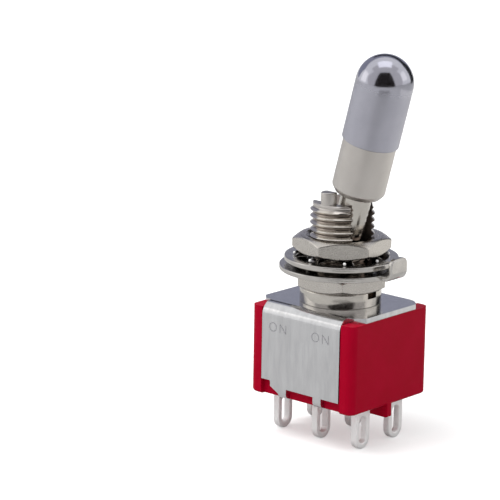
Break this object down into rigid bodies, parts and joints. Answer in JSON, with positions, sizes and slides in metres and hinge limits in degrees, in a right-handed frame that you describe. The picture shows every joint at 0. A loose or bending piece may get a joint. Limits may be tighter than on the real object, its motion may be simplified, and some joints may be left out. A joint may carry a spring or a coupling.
{
  "type": "panel toggle switch",
  "caption": "Miniature panel toggle switch with a pull-up locking sleeve on its lever, a slotted threaded bushing, panel hardware and solder lugs below a moulded case.",
  "frame": {"origin": "on the bushing's axis, in the upper face of the locating ring, where the panel's rear face seats", "axes": "+Z along the bushing from the case to the lever, +X the way the lever leans at rest, -Y out of the lettered plate"},
  "size_m": [0.0133, 0.0114, 0.0365],
  "materials": {
    "red_moulding": "smooth moulded thermoset",
    "bright_steel": "bright plated sheet",
    "nickel_plate": "nickel plated brass",
    "nickel_steel": "nickel plated steel",
    "chrome_cap": "bright chrome plate",
    "tinned_lug": "bright tin plate",
    "spring_steel": "drawn wire",
    "dark_moulding": "moulded nylon",
    "contact_metal": "silver plated"
  },
  "bodies": {
    "case": {"housing": "red_moulding", "frame_bracket": "bright_steel", "bushing": "nickel_plate", "lower_nut": "nickel_plate", "locating_ring": "nickel_steel", "lock_washer": "nickel_steel", "upper_nut": "nickel_plate", "lug_left_front": "tinned_lug", "lug_left_back": "tinned_lug", "lug_common_front": "tinned_lug", "lug_common_back": "tinned_lug", "lug_right_front": "tinned_lug", "lug_right_back": "tinned_lug"},
    "lever": {"lever_stem": "nickel_plate", "spring_retainer": "nickel_steel", "actuator_block": "dark_moulding", "block_pin": "spring_steel", "return_spring": "spring_steel", "plunger_spring_front": "spring_steel", "plunger_spring_back": "spring_steel"},
    "sleeve": {"lock_sleeve": "nickel_plate", "lever_cap": "chrome_cap"},
    "plunger_front": {"plunger_front": "nickel_steel"},
    "plunger_back": {"plunger_back": "nickel_steel"},
    "rocker_front": {"rocker_front": "contact_metal"},
    "rocker_back": {"rocker_back": "contact_metal"}
  },
  "joints": [
    {"name": "lever_swing", "type": "hinge", "parent": "case", "child": "lever", "pos_m": [0, 0, 0.0006], "axis": [0, 1, 0], "range_deg": [-30, 0]},
    {"name": "sleeve_lift", "type": "slide", "parent": "lever", "child": "sleeve", "axis": [0.2588, 0, 0.9659], "range_m": [0, 0.0018], "stiffness_N_per_m": 200, "springref_m": -0.002, "deforming": ["return_spring"]},
    {"name": "plunger_slide_front", "type": "slide", "parent": "lever", "child": "plunger_front", "axis": [0.2588, 0, 0.9659], "range_m": [0, 0.0005], "stiffness_N_per_m": 20, "springref_m": -0.0005, "deforming": ["plunger_spring_front"]},
    {"name": "plunger_slide_back", "type": "slide", "parent": "lever", "child": "plunger_back", "axis": [0.2588, 0, 0.9659], "range_m": [0, 0.0005], "stiffness_N_per_m": 20, "springref_m": -0.0005, "deforming": ["plunger_spring_back"]},
    {"name": "rocker_tilt_front", "type": "hinge", "parent": "case", "child": "rocker_front", "pos_m": [0, -0.0024, -0.00988], "axis": [0, 1, 0], "range_deg": [0, 16]},
    {"name": "rocker_tilt_back", "type": "hinge", "parent": "case", "child": "rocker_back", "pos_m": [0, 0.0024, -0.00988], "axis": [0, 1, 0], "range_deg": [0, 16]}
  ],
  "couplings": [
    {"joint": "rocker_tilt_front", "follows": "lever_swing", "ratio": -0.5333},
    {"joint": "rocker_tilt_back", "follows": "lever_swing", "ratio": -0.5333}
  ]
}
